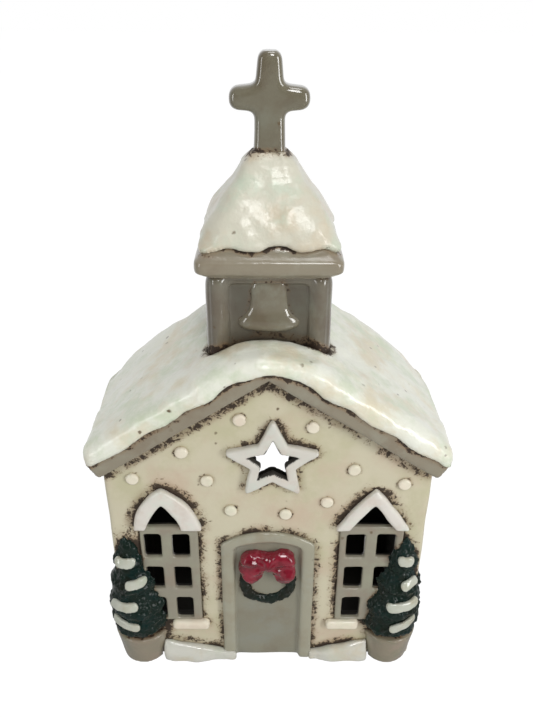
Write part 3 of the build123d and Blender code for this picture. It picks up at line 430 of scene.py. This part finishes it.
# Bell. A flattened bell in half relief with a rolled lip, pressed from a mould and stuck on to the front
# panel under the lintel. Its glaze is thick and glossy.
bell_low, bell_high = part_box("bell")
half_bell, bell_height = (bell_high.x - bell_low.x) / 2, bell_high.z - bell_low.z
clay = bmesh.new()
side_shares = [(0.0, 0.0), (0.42, 0.0), (0.53, 0.05), (0.56, 0.16), (0.59, 0.40), (0.64, 0.57), (0.75, 0.68),
               (0.92, 0.76), (1.0, 0.82), (1.0, 0.90), (0.90, 0.97), (0.66, 1.0), (0.0, 1.0)]
rim = [clay.verts.new((half_bell * out, 0, bell_high.z - bell_height * down)) for out, down in side_shares]
for upper, lower in zip(rim, rim[1:]):
    clay.edges.new((upper, lower))
bmesh.ops.spin(clay, geom=clay.verts[:] + clay.edges[:], axis=(0, 0, 1), angle=2 * math.pi, steps=64,
               use_merge=True)
bmesh.ops.remove_doubles(clay, verts=clay.verts, dist=1e-6)
bmesh.ops.scale(clay, verts=clay.verts, vec=(1, (bell_high.y - bell_low.y) / half_bell, 1))
bmesh.ops.translate(clay, verts=clay.verts, vec=(0, bell_high.y, 0))
bmesh.ops.recalc_face_normals(clay, faces=clay.faces)
bmesh.ops.bisect_plane(clay, geom=clay.verts[:] + clay.edges[:] + clay.faces[:], plane_co=(0, bell_high.y, 0),
                       plane_no=(0, 1, 0), clear_outer=True)
bmesh.ops.holes_fill(clay, edges=clay.edges)
bell = skinned("relief_bell", clay, ["bell"], grain=0.0004, sponging=8)
press(bell, depth=0.0003, size=0.006, swell=0.0003)
bell.data.materials.append(
    glaze("bell_glaze", [(116, 110, 93), (108, 99, 82), (122, 119, 103)], pool_scale=110.0, fleck_share=0.02,
          cover=0.5, rough=0.14, coat=0.9, ripple=0.0002))


# Belfry cap. A flared four-sided clay roof with a square fascia and a cove down to the tower, stuck on with
# slip. It has the taupe glaze of the eaves.
cap = cast("belfry_cap", ["tower_cap"], grain=0.0006, sponging=8)
press(cap, depth=0.0002, size=0.012, swell=0.0002)
rub_stain(cap, [(["tower_cap_snow"], 0.0013, 0.0026, 1.2), (["belfry_tower"], 0, 0.0010, 0.5)])
cap.data.materials.append(taupe_glaze)


# Cap snow. White glaze poured thickly over the flared cap up to the foot of the cross, full in the middle
# and drawn in at the top, with its lower edge left wavy and stained. It fired more beige than the roof.
cap_snow = cast("cap_drift", ["tower_cap_snow"], grain=0.0005, sponging=40)
press(cap_snow, depth=0.0007, size=0.011, swell=0.0011)
press(cap_snow, depth=0.0003, size=0.0045)
drift_low, drift_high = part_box("tower_cap_snow")
places = surface(cap_snow)[0]
up = (places[:, 2] - drift_low.z) / (drift_high.z - drift_low.z)
girth = np.interp(up, [0.0, 0.15, 0.36, 0.52, 0.66, 0.80, 0.90, 1.0],
                  [1.0, 1.03, 1.09, 1.13, 1.14, 1.12, 1.02, 0.80])
axis = np.array((drift_low + drift_high).xy, np.float32) / 2
places[:, :2] = axis + (places[:, :2] - axis) * girth[:, None]
reshape(cap_snow, places)
rub_stain(cap_snow, [(["tower_cap"], 0.0005, 0.0016, 1.0), (["cross"], 0.0012, 0.0036, 1.1)])
cap_snow.data.materials.append(
    glaze("cap_snow_glaze", [(201, 198, 181), (198, 186, 163), (192, 200, 181)], pool_scale=62.0,
          fleck_share=0.08, cover=1.0, rough=0.30, coat=0.25, ripple=0.0008))


# Cross. A plain cross with soft rounded arms, pressed in a mould and set upright in the top of the cap,
# under a glossy olive-grey glaze with a little brown left round its foot.
cross = cast("ridge_cross", ["cross"], grain=0.0005, sponging=30)
press(cross, depth=0.00022, size=0.009, swell=0.0004)
rub_stain(cross, [(["tower_cap_snow"], 0.0014, 0.0030, 0.9)])
cross.data.materials.append(
    glaze("cross_glaze", [(110, 105, 88), (102, 94, 77), (116, 114, 98)], pool_scale=90.0, fleck_share=0.03,
          cover=1.0, rough=0.15, coat=0.9, ripple=0.0002))


# Door. A sunk panel under a low arch, pressed in one with its raised plain surround, so that the face
# rolls down in a hollow from the frame to the panel. Painted shade darkens the grey-green glaze down the
# hollow and over the panel, standing both for shade in the recess and for the panel's own darker tone.
door = cast("door_and_frame", ["door_panel", "door_surround"], grain=0.0005, sponging=44)
press(door, depth=0.0002, size=0.012, swell=0.0005)
rub_stain(door, [(["wreath", "bow"], 0, 0.0014, 0.6)])
# Painted shade, which also gives the panel its darker tone: the deeper a point is sunk from the frame's face
# towards the panel's, the more it goes to the dark colour.
frame_face, panel_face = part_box("door_surround")[0].y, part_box("door_panel")[0].y
sunk = (surface(door)[0][:, 1] - frame_face) / (panel_face - frame_face)
door_shade = 0.36
mark(door, "inside", door_shade * np.clip(sunk, 0, 1))
door.data.materials.append(
    glaze("door_glaze", [(154, 151, 132), (148, 141, 121), (155, 155, 140)], pool_scale=60.0,
          fleck_share=0.02, cover=0.9, rough=0.20, coat=0.5, ripple=0.0003))


# Wreath. A ring of small moulded leaves, pressed on to the door panel while soft, in a green glaze so dark
# that only the edges of the leaves shine.
wreath = cast("door_wreath", ["wreath"], grain=0.0004, sponging=2)
press(wreath, depth=0.0008, size=0.0026, swell=0.0002)
press(wreath, depth=0.0004, size=0.0011)
wreath.data.materials.append(
    glaze("leaf_glaze", [(30, 38, 32), (34, 33, 24), (22, 40, 36)], pool_scale=120.0, fleck_share=0.02,
          cover=0.6, rough=0.25, coat=0.05, ripple=0.0003, shine=0.2))


# Bow. Two plump loops with their tails and a knot, modelled by hand over the top of the wreath, with folds
# that run out from the knot. The crimson glaze is thick, and darker in the folds.
bow = cast("door_bow", ["bow"], grain=0.0004, sponging=50)
press(bow, depth=0.0010, size=0.0046, swell=0.0010)
press(bow, depth=0.0003, size=0.0018)
folds, fold_depth, fold_start, knot_depth, knot_size = 7, 0.0005, 0.006, 0.0014, 0.0026
knot_shares = Vector((0.5, 0.0, 0.70))
bow_low, bow_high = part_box("bow")
knot = bow_low + knot_shares * (bow_high - bow_low)
places, outward = surface(bow)
sideways, upwards = places[:, 0] - knot.x, places[:, 2] - knot.z
reach = np.hypot(sideways, upwards)
fold = np.sin(folds * np.arctan2(upwards, np.abs(sideways))) * np.clip(reach / fold_start, 0, 1)
ties = np.exp(-(reach / knot_size) ** 2)
places[:, 1] += np.clip(outward[:, 1], -1, 0) * (fold_depth * fold + knot_depth * ties)
reshape(bow, places)
bow.data.materials.append(
    glaze("bow_glaze", [(122, 26, 42), (92, 17, 27), (138, 36, 52)], pool_scale=160.0, fleck_share=0.0,
          cover=0.5, rough=0.10, coat=0.6, ripple=0.0002, shine=0.4))


# Window lattices. Clay grilles set in the window openings, their panes cut out with a knife and their bars
# rounded with a sponge. They have a pale warm grey glaze in front, and behind their front millimetre they are
# painted dark as shade.
lattice_glaze = glaze("lattice_glaze", [(142, 137, 121), (141, 129, 113), (146, 145, 126)], pool_scale=70.0,
                      fleck_share=0.04, cover=0.9, rough=0.22, coat=0.5, ripple=0.0003)
unshaded_depth = 0.0010
for side in ("left", "right"):
    lattice = cast(side + "_grille", [side + "_window_lattice"], grain=0.0004, sponging=9)
    press(lattice, depth=0.00018, size=0.01, swell=0.0002)
    rub_stain(lattice, [([side + "_window_hood", side + "_tree"], 0, 0.0012, 0.7),
                        (["front_wall"], 0, 0.0006, 0.6)])
    # Painted shade: everything more than a millimetre behind the wall's front face goes dark.
    paint_inner_shade(lattice, (-1.0, front_face + unshaded_depth, 0.0), (1.0, 1.0, 1.0))
    lattice.data.materials.append(lattice_glaze)


# Window hoods. Raised pointed mouldings of white clay over the heads of the windows, rolled by hand, stuck
# on with slip and rounded off. The stain round them is heavy and stays on the wall.
hood_glaze = glaze("hood_glaze", [(214, 209, 200), (206, 196, 184), (210, 212, 200)], pool_scale=80.0,
                   fleck_share=0.06, cover=1.0, rough=0.24, coat=0.4, ripple=0.0003)
for side in ("left", "right"):
    hood = cast(side + "_hood_mould", [side + "_window_hood"], grain=0.00045, sponging=16)
    press(hood, depth=0.0004, size=0.007, swell=0.0004)
    rub_stain(hood, [(["front_wall"], 0, 0.0006, 0.7)])
    hood.data.materials.append(hood_glaze)


# Sills. Rounded rolls of clay laid under the windows as a line of snow, stuck on to the wall with slip and
# glazed a lighter cream than the wall.
sill_glaze = glaze("sill_glaze", [(224, 216, 196), (216, 203, 183), (214, 211, 188)], pool_scale=70.0,
                   fleck_share=0.05, cover=1.0, rough=0.26, coat=0.35, ripple=0.0003)
for side in ("left", "right"):
    sill = cast(side + "_sill_roll", [side + "_window_sill"], grain=0.00045, sponging=4)
    press(sill, depth=0.0003, size=0.008)
    rub_stain(sill, [(["front_wall"], 0, 0.0006, 0.5), ([side + "_tree"], 0, 0.0012, 0.7)])
    sill.data.materials.append(sill_glaze)


# Star. A raised five-pointed surround of white clay stuck on the gable, and cut through with the wall so
# that the candle shines out. The cut sides of the hole are painted near-black as shade.
star = cast("gable_star", ["star_surround"], grain=0.00042, sponging=12)
press(star, depth=0.0003, size=0.006, swell=0.0004)
rub_stain(star, [(["front_wall"], 0, 0.0006, 0.6)])
star_low, star_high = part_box("star_surround")
places, outward = surface(star)
inward = (np.array((star_low + star_high) / 2, np.float32) - places) * (1, 0, 1)
inward /= np.linalg.norm(inward, axis=1)[:, None]
# Painted shade: faces turned in towards the middle of the star, the sides of the hole, go near-black.
cut_shade, cut_facing = 0.95, 0.45
mark(star, "inside", cut_shade * ((inward * outward).sum(axis=1) > cut_facing))
star.data.materials.append(
    glaze("star_glaze", [(205, 201, 191), (200, 189, 177), (200, 203, 192)], pool_scale=90.0,
          fleck_share=0.04, cover=1.0, rough=0.20, coat=0.5, ripple=0.0003))


# Snow dots. Small drops of white slip let fall on the walls as snow, which dried as low round buttons. They
# share the glaze of the sills.
dots = cast("snow_drops", ["snow_dots"], grain=0.00032, sponging=8)
press(dots, depth=0.0003, size=0.004, swell=0.0003)
dots.data.materials.append(sill_glaze)


# Pots. Plain tapered clay cups standing at the front corners and stuck on to the wall with slip, in a taupe
# glaze with brown round the rim.
pot_glaze = glaze("pot_glaze", [(136, 127, 108), (144, 129, 112), (126, 123, 101)], pool_scale=80.0,
                  fleck_share=0.04, cover=1.0, rough=0.24, coat=0.35, ripple=0.0004)
for side in ("left", "right"):
    pot = cast(side + "_cup", [side + "_pot"], grain=0.0005, sponging=6)
    press(pot, depth=0.0003, size=0.009, swell=0.0002)
    rub_stain(pot, [([side + "_tree"], 0.0002, 0.0020, 1.1), (["front_wall"], 0, 0.0010, 0.7)])
    pot.data.materials.append(pot_glaze)


# Fir trees. Lumpy clay trees with ragged tiers, modelled by hand, standing in the pots and stuck to the
# wall. The glossy glaze is so dark a green that it is nearly black.
tree_glaze = glaze("fir_glaze", [(22, 36, 30), (24, 27, 19), (14, 38, 36)], pool_scale=90.0, fleck_share=0.02,
                   cover=0.9, rough=0.22, coat=0.05, ripple=0.0004, shine=0.2)
for side in ("left", "right"):
    fir = cast(side + "_fir", [side + "_tree"], grain=0.00045, sponging=2)
    press(fir, depth=0.0010, size=0.0050)
    press(fir, depth=0.0007, size=0.0020)
    press(fir, depth=0.0004, size=0.0011)
    rub_stain(fir, [([side + "_pot"], 0, 0.0030, 1.0)])
    fir.data.materials.append(tree_glaze)


# Tree snow. Long drops of white glaze laid along the branches with a brush, thick enough to stand up as
# smooth pads with a wet shine.
pad_glaze = glaze("pad_glaze", [(184, 186, 173), (176, 172, 152), (176, 182, 164)], pool_scale=120.0,
                  fleck_share=0.04, cover=1.0, rough=0.14, coat=0.8, ripple=0.0002)
for side in ("left", "right"):
    pads = cast(side + "_fir_snow", [side + "_tree_snow"], grain=0.00028, sponging=4)
    press(pads, depth=0.0004, size=0.0035, swell=0.0004)
    pads.data.materials.append(pad_glaze)


# Drifts. Low banks of clay along the foot of the front wall, between the door and the pots, smoothed by hand
# and glazed white, with brown left in the corner behind them.
bank_glaze = glaze("bank_glaze", [(200, 199, 189), (196, 188, 168), (190, 194, 178)], pool_scale=70.0,
                   fleck_share=0.06, cover=1.0, rough=0.18, coat=0.6, ripple=0.0005)
for side in ("left", "right"):
    bank = cast(side + "_bank", [side + "_snow_drift"], grain=0.0005, sponging=26)
    press(bank, depth=0.0007, size=0.007, swell=0.0004)
    rub_stain(bank, [(["front_wall"], 0, 0.0006, 0.5), ([side + "_pot"], 0, 0.0014, 0.7)])
    bank.data.materials.append(bank_glaze)


# Candle. An LED tealight standing inside: a white moulded cup and base plate, a translucent flame over the
# lamp, a round board, a coin cell with its leaf contacts, a bayonet hatch and a small slide switch.
def moulding(name, colour, rough, grain_scale, depth, **sockets):
    """Moulded plastic or metal with slight colour drift and a fine skin."""
    finish = bpy.data.materials.new(name)
    finish.use_nodes = True
    tree = finish.node_tree
    place = put(tree, "ShaderNodeTexCoord", {}).outputs["Object"]
    grain = cloud(tree, place, grain_scale, 3.0)
    darker = tuple(part * 0.86 for part in tint(*colour)[:3]) + (1.0,)
    worn = fade(tree, grain, rough * 0.8, rough * 1.2)
    bump = put(tree, "ShaderNodeBump", {"Strength": 0.5, "Distance": depth, "Height": grain})
    feed(tree, tree.nodes["Principled BSDF"],
         {"Base Color": blend_colour(tree, grain, tint(*colour), darker), "Roughness": worn,
          "Normal": bump.outputs["Normal"], **sockets})
    return finish


candle_white = moulding("candle_plastic", (232, 228, 216), rough=0.42, grain_scale=420.0, depth=0.00015,
                        **{"Subsurface Weight": 0.15, "Subsurface Radius": (0.002, 0.0014, 0.001)})
flame_white = moulding("flame_plastic", (240, 214, 160), rough=0.35, grain_scale=300.0, depth=0.0001,
                       **{"Transmission Weight": 0.35})
lamp_lens = moulding("led_lens", (244, 230, 190), rough=0.12, grain_scale=500.0, depth=0.00005,
                     **{"Transmission Weight": 0.8})
board_green = moulding("board_laminate", (38, 84, 52), rough=0.4, grain_scale=900.0, depth=0.00008)
cell_steel = moulding("cell_steel", (176, 176, 172), rough=0.3, grain_scale=800.0, depth=0.00004,
                      Metallic=1.0)
contact_steel = moulding("contact_steel", (190, 186, 172), rough=0.25, grain_scale=1200.0, depth=0.00003,
                         Metallic=1.0)
switch_black = moulding("switch_plastic", (40, 40, 42), rough=0.45, grain_scale=700.0, depth=0.0001)
finishes = {"candle_shell": candle_white, "candle_base": candle_white, "candle_battery_hatch": candle_white,
            "candle_flame": flame_white, "candle_led": lamp_lens, "candle_board": board_green,
            "candle_coin_cell": cell_steel, "candle_contacts": contact_steel, "candle_switch": switch_black}
for name, finish in finishes.items():
    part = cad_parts[name].data
    part.materials.clear()
    part.materials.append(finish)


# Table and backdrop. A wide white floor that keeps a soft shadow, under a plain white surround. It is clear
# from below, so that the candle's underside can be looked at.
table_mesh = bmesh.new()
bmesh.ops.create_grid(table_mesh, x_segments=1, y_segments=1, size=4.0)
table = bpy.data.objects.new("table", bpy.data.meshes.new("table"))
table_mesh.to_mesh(table.data)
table_mesh.free()
bpy.context.scene.collection.objects.link(table)
paper = bpy.data.materials.new("white_paper")
paper.use_nodes = True
tree = paper.node_tree
path = put(tree, "ShaderNodeLightPath", {}).outputs
seen = maths(tree, "MAXIMUM", path["Is Camera Ray"], path["Is Glossy Ray"])
seen = maths(tree, "MAXIMUM", seen, path["Is Transmission Ray"])
glow_share, glow_strength = 0.86, 1.115
share = maths(tree, "MULTIPLY", seen, glow_share)
matt = put(tree, "ShaderNodeBsdfDiffuse", {"Color": (0.80, 0.80, 0.80, 1.0)})
along = put(tree, "ShaderNodeSeparateXYZ", {"Vector": put(tree, "ShaderNodeTexCoord", {}).outputs["Object"]})
# Painted shade: seen in a reflection, the floor's glow falls from full behind the house to 0.3 on the
# camera's side in front.
shaded_reflection_glow = fade(tree, along.outputs["Y"], 0.30, 1.0, low=-0.02, high=0.10)
bright = put(tree, "ShaderNodeMix", {0: path["Is Glossy Ray"], 2: glow_strength, 3: shaded_reflection_glow})
glow = put(tree, "ShaderNodeEmission", {"Color": (1.0, 1.0, 1.0, 1.0), "Strength": bright.outputs[0]})
mixed = put(tree, "ShaderNodeMixShader", {0: share, 1: matt.outputs[0], 2: glow.outputs[0]})
clear = put(tree, "ShaderNodeBsdfTransparent", {})
below = put(tree, "ShaderNodeNewGeometry", {}).outputs["Backfacing"]
mixed = put(tree, "ShaderNodeMixShader", {0: below, 1: mixed.outputs[0], 2: clear.outputs[0]})
tree.links.new(mixed.outputs[0], tree.nodes["Material Output"].inputs["Surface"])
table.data.materials.append(paper)

world = bpy.data.worlds.new("white_room")
world.use_nodes = True
bpy.context.scene.world = world
tree = world.node_tree
path = put(tree, "ShaderNodeLightPath", {}).outputs
way = put(tree, "ShaderNodeTexCoord", {}).outputs["Generated"]
parts = put(tree, "ShaderNodeSeparateXYZ", {"Vector": way})
far_side = fade(tree, parts.outputs["Y"], 0.05, 0.85, low=-0.5, high=0.6)
ambient = fade(tree, parts.outputs["Z"], 0.34, 0.42, low=-0.2, high=0.9)
shine = maths(tree, "MAXIMUM", path["Is Glossy Ray"], path["Is Transmission Ray"])
level = put(tree, "ShaderNodeMix", {0: shine, 2: ambient, 3: far_side})
level = put(tree, "ShaderNodeMix", {0: path["Is Camera Ray"], 2: level.outputs[0], 3: 1.0})
feed(tree, tree.nodes["Background"], {"Strength": level.outputs[0], "Color": (1.0, 1.0, 1.0, 1.0)})


# Lamps. A tall strip to the right, a weaker one to the left, and two softboxes in front and overhead, as in
# a small product tent. The strips draw the upright highlights on the posts and the rolls of snow.
def softbox(name, place, aim, width, height, power):
    """A rectangular lamp that faces a point of the object."""
    lamp = bpy.data.lights.new(name, "AREA")
    lamp.shape = "RECTANGLE"
    lamp.size = width
    lamp.size_y = height
    lamp.energy = power
    holder = bpy.data.objects.new(name, lamp)
    place = Vector(place)
    facing = (Vector(aim) - place).to_track_quat("-Z", "Y").to_matrix().to_4x4()
    holder.matrix_world = Matrix.Translation(place) @ facing
    bpy.context.scene.collection.objects.link(holder)


softbox("right_strip", (0.52, -0.46, 0.30), (0.0, 0.0, 0.16), width=0.17, height=0.50, power=2.4)
softbox("left_strip", (-0.52, -0.46, 0.28), (0.0, 0.0, 0.16), width=0.12, height=0.45, power=0.9)
softbox("front_softbox", (0.10, -0.60, 0.78), (0.0, 0.0, 0.14), width=0.15, height=0.32, power=1.8)
softbox("top_softbox", (0.10, -0.05, 1.0), (0.0, 0.0, 0.12), width=0.34, height=0.26, power=1.3)


# Camera. Close above the front, looking down on the roof, so that the upright lines draw together. Its
# place, turn and focal length were worked out from the straight edges in the photograph.
down, turn, roll = math.radians(28.45), math.radians(0.27), math.radians(0.233)
eye = (-0.00187, -0.2416, 0.27107)
picture_height, focal_length, centre_drop = 718, 695.4, 5.5
ahead = Vector((math.sin(turn) * math.cos(down), math.cos(turn) * math.cos(down), -math.sin(down)))
right = Vector((math.cos(turn), -math.sin(turn), 0.0))
above = right.cross(ahead)
right, above = (math.cos(roll) * right + math.sin(roll) * above,
                math.cos(roll) * above - math.sin(roll) * right)
lens = bpy.data.cameras.new("camera")
lens.sensor_fit = "VERTICAL"
lens.sensor_height = 24.0
lens.lens = lens.sensor_height * focal_length / picture_height
lens.shift_y = -centre_drop / picture_height
lens.clip_start = 0.01
camera = bpy.data.objects.new("camera", lens)
facing = Matrix((right, above, -ahead)).transposed().to_4x4()
camera.matrix_world = Matrix.Translation(eye) @ facing
bpy.context.scene.collection.objects.link(camera)
bpy.context.scene.camera = camera
bpy.context.scene.view_settings.view_transform = "Standard"
